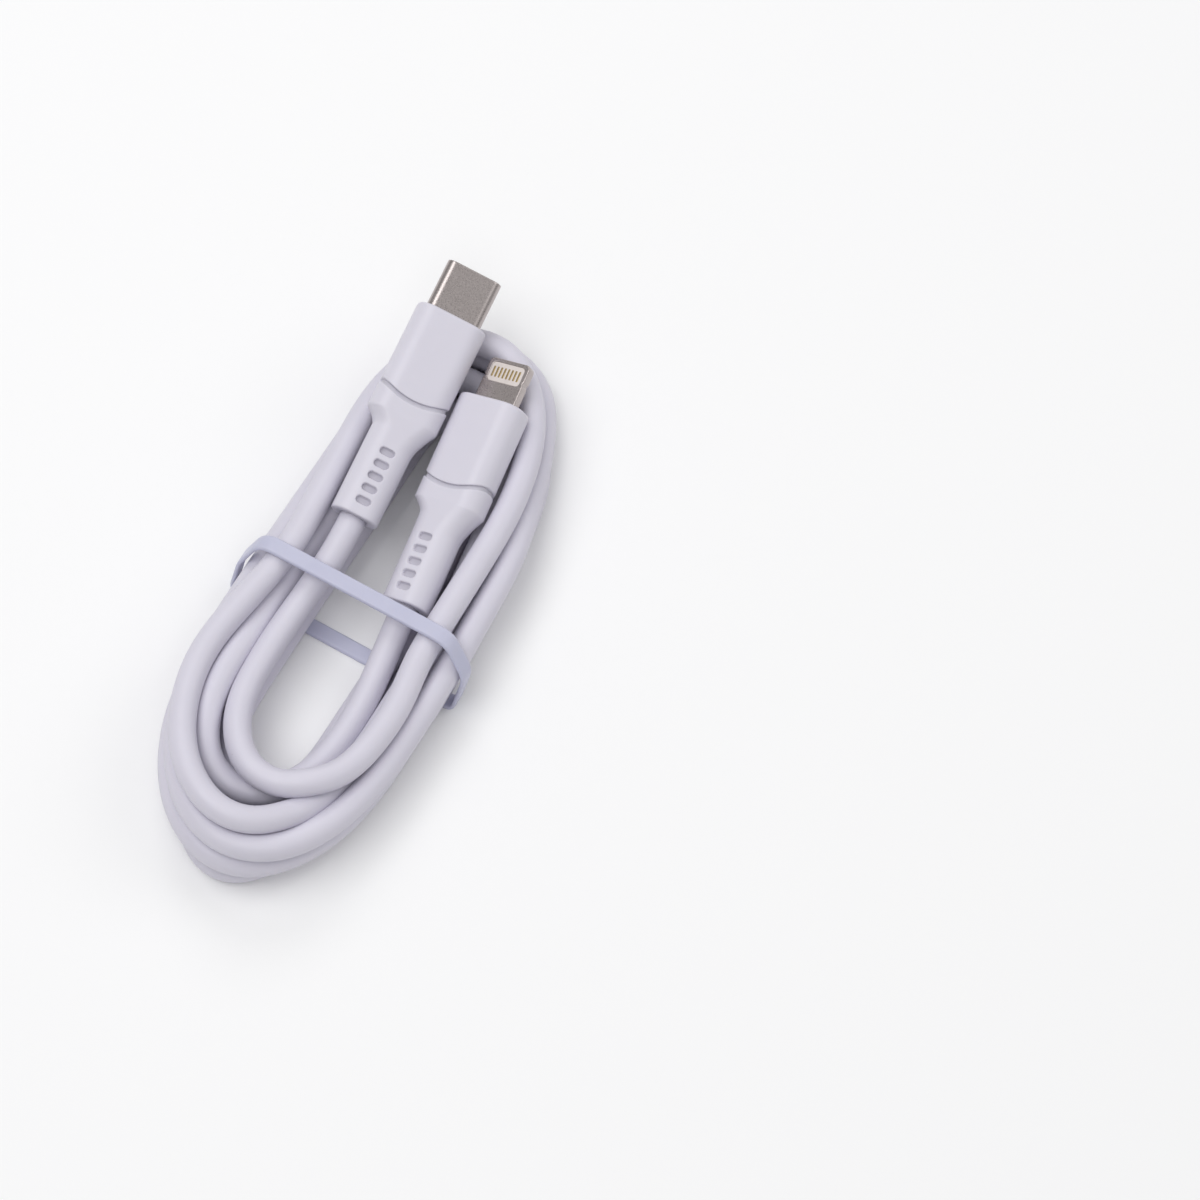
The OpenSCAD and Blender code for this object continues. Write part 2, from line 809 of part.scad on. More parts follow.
charger_shell();
charger_insulator();
charger_contacts_top();
charger_contacts_bottom();
charger_latches();
charger_board();
charger_chip();
charger_shield();
charger_inner_mould();
charger_body();
charger_boot();
charger_ferrule();
charger_wires();
charger_cord_stub();
phone_plug_frame();
phone_contact_bed();
phone_contacts_top();
phone_contacts_bottom();
phone_board();
phone_chip();
phone_shield();
phone_inner_mould();
phone_body();
phone_boot();
phone_ferrule();
phone_wires();
phone_cord_stub();
cord_charger_run();
cord_coil();
cord_phone_run();
tie_band();
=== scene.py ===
"""Looks of a charging cable wound into a flat oval hank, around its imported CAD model.

Lengths in the tables are in millimetres and are turned into metres where a mesh is made. The materials, the
floor and the lights are given in metres.
"""

import math

import bpy
import numpy as np
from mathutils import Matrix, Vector


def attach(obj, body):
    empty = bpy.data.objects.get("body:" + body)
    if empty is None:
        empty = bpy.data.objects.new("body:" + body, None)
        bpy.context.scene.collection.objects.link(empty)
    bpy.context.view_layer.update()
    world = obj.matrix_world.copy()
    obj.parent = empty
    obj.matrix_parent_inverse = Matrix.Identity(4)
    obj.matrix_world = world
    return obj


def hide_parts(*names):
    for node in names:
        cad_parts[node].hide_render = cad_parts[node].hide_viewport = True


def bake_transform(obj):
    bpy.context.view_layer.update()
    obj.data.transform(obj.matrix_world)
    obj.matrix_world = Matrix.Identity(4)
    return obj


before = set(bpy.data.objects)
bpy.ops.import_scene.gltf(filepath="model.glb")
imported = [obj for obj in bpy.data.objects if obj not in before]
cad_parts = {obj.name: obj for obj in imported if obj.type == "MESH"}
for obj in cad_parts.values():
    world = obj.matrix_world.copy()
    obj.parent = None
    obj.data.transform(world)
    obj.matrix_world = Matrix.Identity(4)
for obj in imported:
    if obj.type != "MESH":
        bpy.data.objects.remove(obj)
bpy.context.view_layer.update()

MM = 0.001

# ---------------------------------------------------------------- sizes, as in the CAD source

CORD_D = 3.9
BODY_W, BODY_T, BODY_R = 10.5, 6.2, 2.6
BODY_LEN, BOOT_LEN = 12.4, 19.1
SLEEVE = 0.6
GROOVE_W, GROOVE_BOW = 0.6, 1.45
NECK_W, NECK_T = 7.0, 5.7
SHOULDER_START, LEFT_SHOULDER, RIGHT_SHOULDER = 3.8, 2.2, 4.6
SLOTS, SLOT_PITCH, SLOT_FIRST = 5, 1.9, 9.3
SLOT_L, SLOT_W, SLOT_DEPTH = 2.2, 1.05, 0.65
SHELL_W, SHELL_T, SHELL_WALL, SHELL_LEN = 8.25, 2.4, 0.25, 7.4
TAB_W, TAB_T, TAB_LEN, TAB_R = 6.7, 1.5, 6.6, 0.75
WINDOW_W, WINDOW_L, WINDOW_TIP = 5.4, 2.95, 0.55
PADS, PAD_PITCH, PAD_W, PAD_L = 8, 0.6, 0.34, 1.6
BAND_W, BAND_T, BAND_LEAN, BAND_X, BAND_RISE, BAND_LOW_R = 2.2, 0.6, 18.0, -5.4, 0.55, 0.8
TIP_X = BOOT_LEN + BODY_LEN
CAN_X1 = BOOT_LEN + 8.0
GROOVE_R = (BODY_W**2 / 4 + GROOVE_BOW**2) / (2 * GROOVE_BOW)
GROOVE_CX = BOOT_LEN - GROOVE_BOW + GROOVE_R
CORE_W, CORE_T, CORE_R = BODY_W - 2 * SLEEVE, BODY_T - 2 * SLEEVE, BODY_R - SLEEVE
CENTRING = np.array([-1.25, 2.35, 0.0])

CHARGER_TAIL, CHARGER_TURN = (8.3, 4.3, 10.6), (16.0, 8.4, 4.5)
PHONE_TAIL, PHONE_TURN = (1.1, -8.25, 8.4), (-22.0, 7.3, 7.0)

# Stations of the coil. A side station is [y, z, then x, y and hollow where the curve towards the plugs
# begins, then the same for the curve towards the loop end], a top or bottom station is [x, z, y]. Seven
# stations and the thin plug's route lie nearer to the photograph here than in the CAD source.
RIGHT_AT = [
    [-14.0, 9.75, 16, -13.9, 0.2, -4, -14.8, 0],
    [-13.9, 5.85, 20, -11.9, 0, -18, -13.7, 0],
    [-17.6, 6.9, 14.5, -16.7, 7.5, -18, -17.3, 0],
    [-17.0, 1.95, 18, -14.9, 3.0, -18, -16.7, 0],
    [-13.0, 1.95, 25, -10.9, 0, -26, -12.7, 0],
    [-9.0, 1.95, 28, -6.9, 0, -22.5, -8.7, 0],
]
TOP_AT = [
    [41.4, 8.7, 1.4],
    [41.2, 5.2, 1.4],
    [42.8, 1.95, 0.5],
    [39.2, 1.95, -1.5],
    [35.3, 1.95, -2.5],
    [37.2, 5.3, 0.6],
]
LEFT_AT = [
    [9.6, 9.6, 24, 11.6, 0, -16, 12.2, 0],
    [12.7, 5.85, 27, 12.0, 0, -16, 12.9, 1.0],
    [13.2, 1.95, 28, 12.9, 0, -16, 13.4, 2.4],
    [9.2, 1.95, 27, 9.0, 0, -24, 9.4, 2.0],
    [5.2, 1.95, 27.5, 5.0, 0, -22.5, 5.4, 0],
    [8.9, 5.85, 28, 8.2, 0, -6, 8.9, 0],
]
BOTTOM_AT = [
    [-38.4, 12.6, -4.0],
    [-40.8, 9.6, -4.4],
    [-42.4, 5.8, -4.6],
    [-42.8, 1.95, -4.0],
    [-30.2, 1.95, -2.2],
]
JOIN_X = -7.0  # where both routes meet the coil
STRAIGHT = 3.5  # straight cord behind each boot
CHARGER_ROUTE = [
    [1.0, 4.2, 9.0],
    [-4.0, 4.7, 8.0],
    [-10.0, 5.2, 7.5],
    [-16.0, 5.2, 7.7],
    [-21.5, 4.6, 8.3],
    [-26.0, 2.7, 9.2],
    [-30.1, -0.9, 9.8],
    [-31.6, -5.4, 9.9],
    [-30.5, -10.0, 9.9],
    [-27.0, -13.7, 9.9],
    [-21.0, -15.1, 9.8],
    [-14.0, -15.4, 9.75],
    [-10.0, -15.2, 9.75],
]
PHONE_ROUTE = [
    [-10.0, 8.8, 6.4],
    [-14.0, 8.8, 7.6],
    [-20.5, 8.7, 8.7],
    [-26.2, 7.7, 8.6],
    [-30.7, 5.2, 7.8],
    [-33.2, 1.2, 6.7],
    [-32.6, -3.4, 5.9],
    [-29.6, -7.0, 5.85],
    [-25.4, -9.4, 5.85],
    [-20.5, -10.4, 5.9],
    [-14.5, -10.4, 6.2],
    [-9.0, -9.7, 6.9],
]

# ---------------------------------------------------------------- camera

CAMERA_AT = Vector((-196.52, -150.23, 610.67)) * MM
CAMERA_AIM = Vector((14.355, -28.478, 8.0)) * MM
CAMERA_LENS, SENSOR_WIDTH = 141.375, 36.0
CLIP_START, CLIP_END = 0.01, 20.0


def add_camera():
    data = bpy.data.cameras.new("camera")
    camera = bpy.data.objects.new("camera", data)
    bpy.context.scene.collection.objects.link(camera)
    data.sensor_width = SENSOR_WIDTH
    data.lens = CAMERA_LENS
    data.clip_start, data.clip_end = CLIP_START, CLIP_END
    camera.location = CAMERA_AT
    camera.rotation_mode = "QUATERNION"
    camera.rotation_quaternion = (CAMERA_AIM - CAMERA_AT).to_track_quat("-Z", "Y")
    bpy.context.scene.camera = camera


add_camera()
bpy.context.scene.view_settings.view_transform = "Standard"

# ---------------------------------------------------------------- plug frames


def turn_matrix(turn):
    """Columns are a plug's own axes: along it, to its left, and up from its broad face."""
    roll, pitch, yaw = (math.radians(a) for a in turn)
    about_z = np.array([[math.cos(yaw), -math.sin(yaw), 0], [math.sin(yaw), math.cos(yaw), 0], [0, 0, 1]])
    about_y = np.array(
        [[math.cos(pitch), 0, -math.sin(pitch)], [0, 1, 0], [math.sin(pitch), 0, math.cos(pitch)]],
    )
    about_x = np.array([[1, 0, 0], [0, math.cos(roll), -math.sin(roll)], [0, math.sin(roll), math.cos(roll)]])
    return about_z @ about_y @ about_x


class Plug:
    """The frame of one plug: its origin is the middle of the boot's cord end, X runs to the tip."""

    def __init__(self, tail, turn):
        self.tail = np.array(tail)
        self.axes = turn_matrix(turn)

    def hank(self, points):
        """From the plug's own millimetres to those of the hank."""
        return np.asarray(points, float) @ self.axes.T + self.tail

    def world(self, points):
        """From the plug's own millimetres to metres in the shared frame."""
        return (self.hank(points) + CENTRING) * MM


CHARGER = Plug(CHARGER_TAIL, CHARGER_TURN)
PHONE = Plug(PHONE_TAIL, PHONE_TURN)

# ---------------------------------------------------------------- the cord's way

STRAIGHT_STEP = 3.5  # spacing of the points on a straight side
CURVE_STEPS = 12  # steps of one quarter oval
CLIMB = 1.5  # how late in a quarter oval the cord changes its height
ROUGH_STEP, FINE_STEP = 2.5, 1.1  # spacing of the points while the turns settle, and in the finished line
SMOOTHINGS, SETTLE_ROUNDS = 3, 500

# One round of settling: the pull back to the given line, the stiffness of the cord, and the share of an
# overlap that is pushed away, between two turns and between a turn and a plug
PULL, STIFFNESS, TURN_PUSH, PLUG_PUSH = 0.02, 0.5, 0.35, 0.5
SEARCH_EVERY, SEARCH_MARGIN = 20, 3  # rounds between two searches for close points, and how far these look
PLUG_ROOM = 0.35  # gap kept between a turn and a plug
TAIL_FREE = 9  # length of cord behind each boot that the plugs don't push

# The cord is lifted off the surface where the band passes below it, over the whole way that the band slides
LIFT, LIFT_MIDDLE, LIFT_REACH, LIFT_SLOPE = 0.75, BAND_X - 4.5, 22.4, 16.0


def quarter_angles(steps):
    """Angles from 0 to 90 degrees, in radians."""
    return [math.pi / 2 * i / steps for i in range(steps + 1)]


def quarter(side, curve, end, back=False):
    """Points from a side station at x = 0, by a quarter oval, to an end station."""
    y_side, z_side = side
    x0, y0, hollow = curve
    x_end, z_end, y_end = end
    points = []
    straight = max(2, int(abs(x0) / STRAIGHT_STEP))
    for i in range(straight):
        f = i / straight
        points.append((x0 * f, y_side + (y0 - y_side) * f, z_side))
    dent = math.copysign(hollow, y_end - y0)
    for a in quarter_angles(CURVE_STEPS):
        x = x0 + (x_end - x0) * math.sin(a)
        y = y_end + (y0 - y_end) * math.cos(a) + dent * math.sin(a) * math.cos(a)
        points.append((x, y, z_side + (z_end - z_side) * math.sin(a) ** CLIMB))
    return points[::-1] if back else points


def coil_points():
    """The whole coil, from its join with the wide plug's route to the join with the thin plug's."""
    points = []
    for k in range(len(RIGHT_AT)):
        right, top, left = RIGHT_AT[k], TOP_AT[k], LEFT_AT[k]
        points += quarter(right[:2], right[2:5], top)[1 if points else 0 :]
        points += quarter(left[:2], left[2:5], top, back=True)[1:]
        if k < len(BOTTOM_AT):
            bottom, after = BOTTOM_AT[k], RIGHT_AT[k + 1]
            points += quarter(left[:2], left[5:], bottom)[1:]
            points += quarter(after[:2], after[5:], bottom, back=True)[1:]
    return points


def resample(points, step):
    """An open line of points, resampled evenly at about the step."""
    points = np.asarray(points, float)
    along = np.r_[0, np.cumsum(np.linalg.norm(np.diff(points, axis=0), axis=1))]
    count = int(round(along[-1] / step))
    at = np.linspace(0, along[-1], count + 1)
    return np.column_stack([np.interp(at, along, points[:, i]) for i in range(3)])


def smooth(points, times):
    """Moves each inner point halfway to the middle of its neighbours, several times."""
    for _ in range(times):
        points[1:-1] = points[1:-1] * 0.5 + (points[:-2] + points[2:]) * 0.25
    return points


def middle_offset(points):
    """How far each inner point lies from the middle of its neighbours."""
    offset = np.zeros_like(points)
    offset[1:-1] = (points[:-2] + points[2:]) / 2 - points[1:-1]
    return offset


def half_width(x, left=False):
    """Half the width of a plug's boot and body at a distance from its cord end."""
    reach = LEFT_SHOULDER if left else RIGHT_SHOULDER
    f = min(max((BOOT_LEN - x - SHOULDER_START) / reach, 0.0), 1.0)
    return NECK_W / 2 + (BODY_W - NECK_W) / 2 * (1 - f) ** 1.6


def plug_balls(plug, metal_l, metal_w, metal_t):
    """Balls that fill a plug, which the cord stays out of: centres and radii."""
    centres, radii = [], []
    for x in np.arange(1.0, TIP_X, 1.0):
        r = (NECK_T + (BODY_T - NECK_T) * min(1, x / BOOT_LEN)) / 2
        reach = half_width(x) - r
        for y in np.linspace(-reach, reach, 5):
            centres.append((x, y, 0))
            radii.append(r)
    for x in np.arange(TIP_X + 0.5, TIP_X + metal_l, 0.8):
        for y in np.linspace(-(metal_w - metal_t) / 2, (metal_w - metal_t) / 2, 7):
            centres.append((x, y, 0))
            radii.append(metal_t / 2)
    return plug.hank(centres), np.array(radii)


def floor_height(x):
    """Lowest centreline of the cord: it lies on the surface, and on the band where that passes below."""
    near = np.clip((LIFT_REACH - np.abs(x - LIFT_MIDDLE)) / LIFT_SLOPE, 0, 1)
    return CORD_D / 2 + LIFT * near * near * (3 - 2 * near)


def settle(points, balls, radii, times):
    """Pushes the turns apart until they lie side by side and on each other, near the given line."""
    wanted = points.copy()
    shape = middle_offset(wanted)
    count = len(points)
    step = np.linalg.norm(np.diff(points, axis=0), axis=1).mean()
    first, second = np.triu_indices(count, int(math.ceil(3 * CORD_D / step)))
    along = np.arange(count) * step
    from_end = np.minimum(along, along[-1] - along)
    held = np.zeros(count, bool)
    held[:2] = held[-2:] = True
    for turn in range(times):
        points += (wanted - points) * PULL
        points += (middle_offset(points) - shape) * STIFFNESS
        if turn % SEARCH_EVERY == 0:
            gap = points[first] - points[second]
            near = np.einsum("ij,ij->i", gap, gap) < (CORD_D + SEARCH_MARGIN) ** 2
            a, b = first[near], second[near]
        gap = points[a] - points[b]
        dist = np.sqrt(np.einsum("ij,ij->i", gap, gap)) + 1e-9
        close = dist < CORD_D
        push = gap[close] * ((CORD_D - dist[close]) / dist[close])[:, None] * TURN_PUSH
        moved, hits = np.zeros_like(points), np.zeros(count)
        np.add.at(moved, a[close], push)
        np.add.at(moved, b[close], -push)
        np.add.at(hits, a[close], 1)
        np.add.at(hits, b[close], 1)
        points += moved / np.sqrt(np.maximum(hits, 1))[:, None]
        gap = points[:, None, :] - balls[None]
        dist = np.linalg.norm(gap, axis=2)
        into = radii[None] + CORD_D / 2 + PLUG_ROOM - dist
        into[from_end < TAIL_FREE] = -1
        worst = into.argmax(1)
        for i in np.where(into[np.arange(count), worst] > 0)[0]:
            j = worst[i]
            points[i] += gap[i, j] / dist[i, j] * into[i, j] * PLUG_PUSH
        points[:, 2] = np.maximum(points[:, 2], floor_height(points[:, 0]))
        points[held] = wanted[held]
    return points


def rounded_line(points, step):
    """A smooth line through the points (Catmull-Rom), resampled at the step."""
    p = np.vstack([2 * points[0] - points[1], points, 2 * points[-1] - points[-2]])
    fine = []
    for i in range(1, len(p) - 2):
        for f in np.arange(4) / 4:
            fine.append(
                0.5
                * (
                    2 * p[i]
                    + (p[i + 1] - p[i - 1]) * f
                    + (2 * p[i - 1] - 5 * p[i] + 4 * p[i + 1] - p[i + 2]) * f**2
                    + (3 * p[i] - p[i - 1] - 3 * p[i + 1] + p[i + 2]) * f**3
                )
            )
    fine.append(p[-2])
    return resample(fine, step)


charger_axis, phone_axis = CHARGER.axes[:, 0], PHONE.axes[:, 0]
route = [CHARGER.tail, CHARGER.tail - STRAIGHT * charger_axis, *CHARGER_ROUTE, (JOIN_X, *RIGHT_AT[0][:2])]
route += coil_points()
route += [(JOIN_X, *LEFT_AT[5][:2]), *PHONE_ROUTE, PHONE.tail - STRAIGHT * phone_axis, PHONE.tail]
charger_balls, charger_radii = plug_balls(CHARGER, SHELL_LEN, SHELL_W, SHELL_T)
phone_balls, phone_radii = plug_balls(PHONE, TAB_LEN, TAB_W, TAB_T)
cord_line = smooth(resample(route, ROUGH_STEP), SMOOTHINGS)
cord_line = settle(
    cord_line,
    np.vstack([charger_balls, phone_balls]),
    np.concatenate([charger_radii, phone_radii]),
    SETTLE_ROUNDS,
)
cord_line = rounded_line(cord_line, FINE_STEP)

# ---------------------------------------------------------------- mesh helpers


def new_mesh(name, points, faces):
    """An object from points in metres, shaded smooth."""
    mesh = bpy.data.meshes.new(name)
    mesh.from_pydata([tuple(p) for p in points], [], faces)
    mesh.validate()
    mesh.update()
    mesh.polygons.foreach_set("use_smooth", [True] * len(mesh.polygons))
    obj = bpy.data.objects.new(name, mesh)
    bpy.context.scene.collection.objects.link(obj)
    return obj


def skin(rings, capped=False, joined=False):
    """Points and faces of the skin over rings that all have the same number of points.

    Capped closes both ends with a face, joined leads the last ring back to the first.
    """
    n, m = len(rings[0]), len(rings)
    points = np.vstack(rings)
    faces = []
    for k in range(m if joined else m - 1):
        a, b = k * n, (k + 1) % m * n
        faces += [(a + i, a + (i + 1) % n, b + (i + 1) % n, b + i) for i in range(n)]
    if capped:
        faces.append(tuple(range(n - 1, -1, -1)))
        faces.append(tuple((m - 1) * n + i for i in range(n)))
    return points, faces


def even_loop(points, count):
    """A closed line of points, resampled evenly from its first point."""
    p = np.vstack([points, points[:1]])
    along = np.r_[0, np.cumsum(np.linalg.norm(np.diff(p, axis=0), axis=1))]
    at = np.linspace(0, along[-1], count, endpoint=False)
    return np.column_stack([np.interp(at, along, p[:, i]) for i in range(p.shape[1])])


def section(width, height, radius, count=120, arc=16):
    """Corner-rounded outline in (y, z), counter-clockwise from the middle of its left side."""
    radius = min(radius, height / 2 - 1e-4, width / 2 - 1e-4)
    points = [(width / 2, 0.0)]
    for q in range(4):
        cy = (width / 2 - radius) * (1 if q in (0, 3) else -1)
        cz = (height / 2 - radius) * (1 if q < 2 else -1)
        for i in range(arc + 1):
            a = math.pi / 2 * (q + i / arc)
            points.append((cy + radius * math.cos(a), cz + radius * math.sin(a)))
    return even_loop(np.array(points), count)


def ring_at(x, outline, shift=0.0):
    """A ring of 3-D points from an outline in (y, z), at one x or at an x for each point."""
    x = np.full(len(outline), x) if np.isscalar(x) else x
    return np.column_stack([x, outline[:, 0] + shift, outline[:, 1]])


def flat_ring(outline, z):
    """A ring of 3-D points from an outline in (x, y)."""
    return np.column_stack([outline, np.full(len(outline), z)])


def groove_x(y, side):
    """Where the parting groove's wall lies: side -1 is the body's wall, 1 the boot's."""
    r = GROOVE_R + side * GROOVE_W / 2
    return GROOVE_CX - np.sqrt(r * r - y * y)


def tube(name, line, radius, sides=20):
    """A mesh tube along a line in metres; radius is in metres and may vary along it."""
    line = np.asarray(line, float)
    tangent = np.gradient(line, axis=0)
    tangent /= np.linalg.norm(tangent, axis=1)[:, None]
    side = np.cross(tangent[0], (0.0, 0.0, 1.0))
    rings = []
    radius = np.full(len(line), radius) if np.isscalar(radius) else radius
    for i, t in enumerate(tangent):
        side = side - t * np.dot(side, t)
        side /= np.linalg.norm(side)
        up = np.cross(side, t)
        a = 2 * math.pi * np.arange(sides) / sides
        rings.append(line[i] + radius[i] * (np.outer(np.cos(a), side) + np.outer(np.sin(a), up)))
    points, faces = skin(rings, capped=True)
    return new_mesh(name, points, faces)


# ---------------------------------------------------------------- materials


class Surface:
    """A Principled material with a few procedural layers in the object's own coordinates."""

    def __init__(self, name, color, rough, metallic=0.0, specular=0.5):
        self.material = bpy.data.materials.new(name)
        self.material.use_nodes = True
        self.tree = self.material.node_tree
        self.shader = self.tree.nodes["Principled BSDF"]
        self.shader.inputs["Metallic"].default_value = metallic
        self.shader.inputs["Specular IOR Level"].default_value = specular
        self.color, self.rough = color, rough
        self.shader.inputs["Base Color"].default_value = (*color, 1)
        self.shader.inputs["Roughness"].default_value = rough
        self.place = self.tree.nodes.new("ShaderNodeTexCoord").outputs["Object"]
        self.bump = None

    def node(self, kind, **inputs):
        """A new node whose named inputs are linked to a socket or set to a number."""
        made = self.tree.nodes.new(kind)
        for key, value in inputs.items():
            if isinstance(value, bpy.types.NodeSocket):
                self.tree.links.new(value, made.inputs[key])
            else:
                made.inputs[key].default_value = value
        return made

    def noise(self, size, detail):
        """Noise whose features are about size metres across, from 0 to 1."""
        made = self.node("ShaderNodeTexNoise", Vector=self.place, Scale=1.0 / size, Detail=detail)
        return made.outputs["Fac"]

    def spots(self, size, reach):
        """1 in the middle of small round spots, 0 elsewhere."""
        made = self.node("ShaderNodeTexVoronoi", Vector=self.place, Scale=1.0 / size)
        return self.ramp(made.outputs["Distance"], reach, 1.0, reach * 1.6, 0.0)

    def ramp(self, value, at0, to0, at1, to1):
        """The value led from to0 at at0 to to1 at at1, and held outside them."""
        ends = {"From Min": at0, "From Max": at1, "To Min": to0, "To Max": to1}
        return self.node("ShaderNodeMapRange", Value=value, **ends).outputs["Result"]

    def product(self, a, b):
        made = self.tree.nodes.new("ShaderNodeMath")
        made.operation = "MULTIPLY"
        self.tree.links.new(a, made.inputs[0])
        self.tree.links.new(b, made.inputs[1])
        return made.outputs[0]

    def tint(self, factor, color):
        """Mixes a colour over what the base colour is so far."""
        made = self.tree.nodes.new("ShaderNodeMix")
        made.data_type = "RGBA"
        base = self.shader.inputs["Base Color"]
        sockets = [s for s in made.inputs if s.type == "RGBA"]
        if base.is_linked:
            self.tree.links.new(base.links[0].from_socket, sockets[0])
        else:
            sockets[0].default_value = (*self.color, 1)
        sockets[1].default_value = (*color, 1)
        self.tree.links.new(factor, made.inputs["Factor"])
        self.tree.links.new([s for s in made.outputs if s.type == "RGBA"][0], base)

    def vary_roughness(self, factor, spread):
        socket = self.ramp(factor, 0.3, self.rough - spread, 0.7, self.rough + spread)
        self.tree.links.new(socket, self.shader.inputs["Roughness"])

    def relief(self, height, depth):
        """Adds a bump of that depth, in metres."""
        made = self.node("ShaderNodeBump", Height=height, Distance=depth, Strength=1.0)
        if self.bump is not None:
            self.tree.links.new(self.bump, made.inputs["Normal"])
        self.bump = made.outputs["Normal"]
        self.tree.links.new(self.bump, self.shader.inputs["Normal"])

    def soft(self, weight, scale):
        """Lets some light through, as deep as the scale, in metres."""
        self.shader.inputs["Subsurface Weight"].default_value = weight
        self.shader.inputs["Subsurface Scale"].default_value = scale
        self.shader.inputs["Subsurface Radius"].default_value = (1.0, 0.9, 0.8)


def white_surface(name, color, shade, rough, grain, waviness):
    """Satin white moulding: cloudy tone, fine grain, a few specks of dust, faint long waves."""
    s = Surface(name, color, rough)
    s.tint(s.ramp(s.noise(0.006, 3), 0.35, 0.0, 0.7, 0.5), shade)
    dust = s.product(s.spots(0.0035, 0.013), s.ramp(s.noise(0.011, 1), 0.61, 0.0, 0.67, 0.6))
    s.tint(dust, (0.10, 0.095, 0.10))
    s.vary_roughness(s.noise(0.0016, 3), 0.05)
    s.relief(s.noise(0.00016, 2), grain)
    s.relief(s.noise(0.0035, 2), waviness)
    s.soft(0.12, 0.0012)
    return s


JACKET = white_surface("jacket", (0.66, 0.64, 0.725), (0.635, 0.615, 0.70), 0.46, 0.000006, 0.00003)
MOULDING = white_surface("moulding", (0.67, 0.65, 0.73), (0.65, 0.63, 0.71), 0.42, 0.000004, 0.000012)
RUBBER = white_surface("rubber", (0.67, 0.65, 0.73), (0.65, 0.63, 0.71), 0.44, 0.000005, 0.000014)
# A darker copy of the boot's white for the slot floors: painted shade in the hollows.
PAINTED_SHADE_RECESS = white_surface("recess_painted_shade", (0.53, 0.51, 0.58), (0.47, 0.455, 0.525), 0.6, 0.000005, 0.000014)
BAND = white_surface("elastic", (0.53, 0.535, 0.67), (0.49, 0.495, 0.635), 0.40, 0.000007, 0.00002)
BAND.soft(0.25, 0.001)
FILLING = white_surface("filling", (0.66, 0.65, 0.73), (0.60, 0.59, 0.68), 0.5, 0.000006, 0.00002)


def metal_surface(name, color, shade, rough, grain):
    """Satin metal plate: two sizes of fine mottling and a fine grain."""
    s = Surface(name, color, rough, metallic=1.0)
    s.tint(s.ramp(s.noise(0.00011, 2), 0.35, 0.0, 0.68, 0.8), shade)
    s.tint(s.ramp(s.noise(0.0014, 3), 0.45, 0.0, 0.8, 0.5), shade)
    s.vary_roughness(s.noise(0.0002, 2), 0.05)
    s.relief(s.noise(0.00009, 2), grain)
    return s


NICKEL = metal_surface("nickel", (0.51, 0.46, 0.45), (0.42, 0.375, 0.365), 0.30, 0.0000014)
TINNED = metal_surface("tinned", (0.62, 0.62, 0.63), (0.5, 0.5, 0.51), 0.3, 0.000002)
GOLD = metal_surface("gold", (0.50, 0.38, 0.20), (0.38, 0.28, 0.13), 0.34, 0.000001)


def plain_surface(name, color, shade, rough, size):
    """Plain plastic with a faint mottling of about that size."""
    s = Surface(name, color, rough)
    s.tint(s.ramp(s.noise(size, 3), 0.4, 0.0, 0.65, 0.8), shade)
    s.vary_roughness(s.noise(size * 0.4, 2), 0.06)
    s.relief(s.noise(size * 0.2, 2), 0.000003)
    return s


CONTACT_BED = plain_surface("contact_bed", (0.70, 0.64, 0.61), (0.66, 0.60, 0.575), 0.4, 0.001)
BLACK = plain_surface("insulator", (0.022, 0.022, 0.024), (0.035, 0.034, 0.036), 0.5, 0.0008)
BOARD = plain_surface("board", (0.03, 0.14, 0.07), (0.02, 0.10, 0.05), 0.35, 0.0006)
WIRE = plain_surface("wire", (0.52, 0.05, 0.035), (0.42, 0.035, 0.03), 0.42, 0.0012)


def dress(obj, surface):
    obj.data.materials.clear()
    obj.data.materials.append(surface.material)
    return obj


# ---------------------------------------------------------------- the cord

cord_world = (cord_line + CENTRING) * MM
along = np.arange(len(cord_world))
thickness = CORD_D / 2 * MM * (1 + 0.004 * np.sin(along * 0.21) * np.sin(along * 0.037))
cord = dress(tube("cord", cord_world, thickness, sides=24), JACKET)
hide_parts("cord_coil", "cord_charger_run", "cord_phone_run")
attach(cord, "hank")

# ---------------------------------------------------------------- plug bodies and boots

EDGE_R = 0.16  # rounding along both walls of the parting groove
FRONT_R = 0.45  # rounding round the front of a body
CORD_END_R = 0.25  # rounding round the boot's end at the cord
LAP = 0.12  # length of the first flat ring behind a rounding
CORE_GAP = 0.1  # how much wider than the inner moulding the sleeve's hollow is
SLOTS_END = 11.0  # no slot reaches further than this from the boot's cord end
PAINTED_SHADE_SHARE = 0.45  # share of the slot depth from which the surface takes the darker material, painted shade in the slots
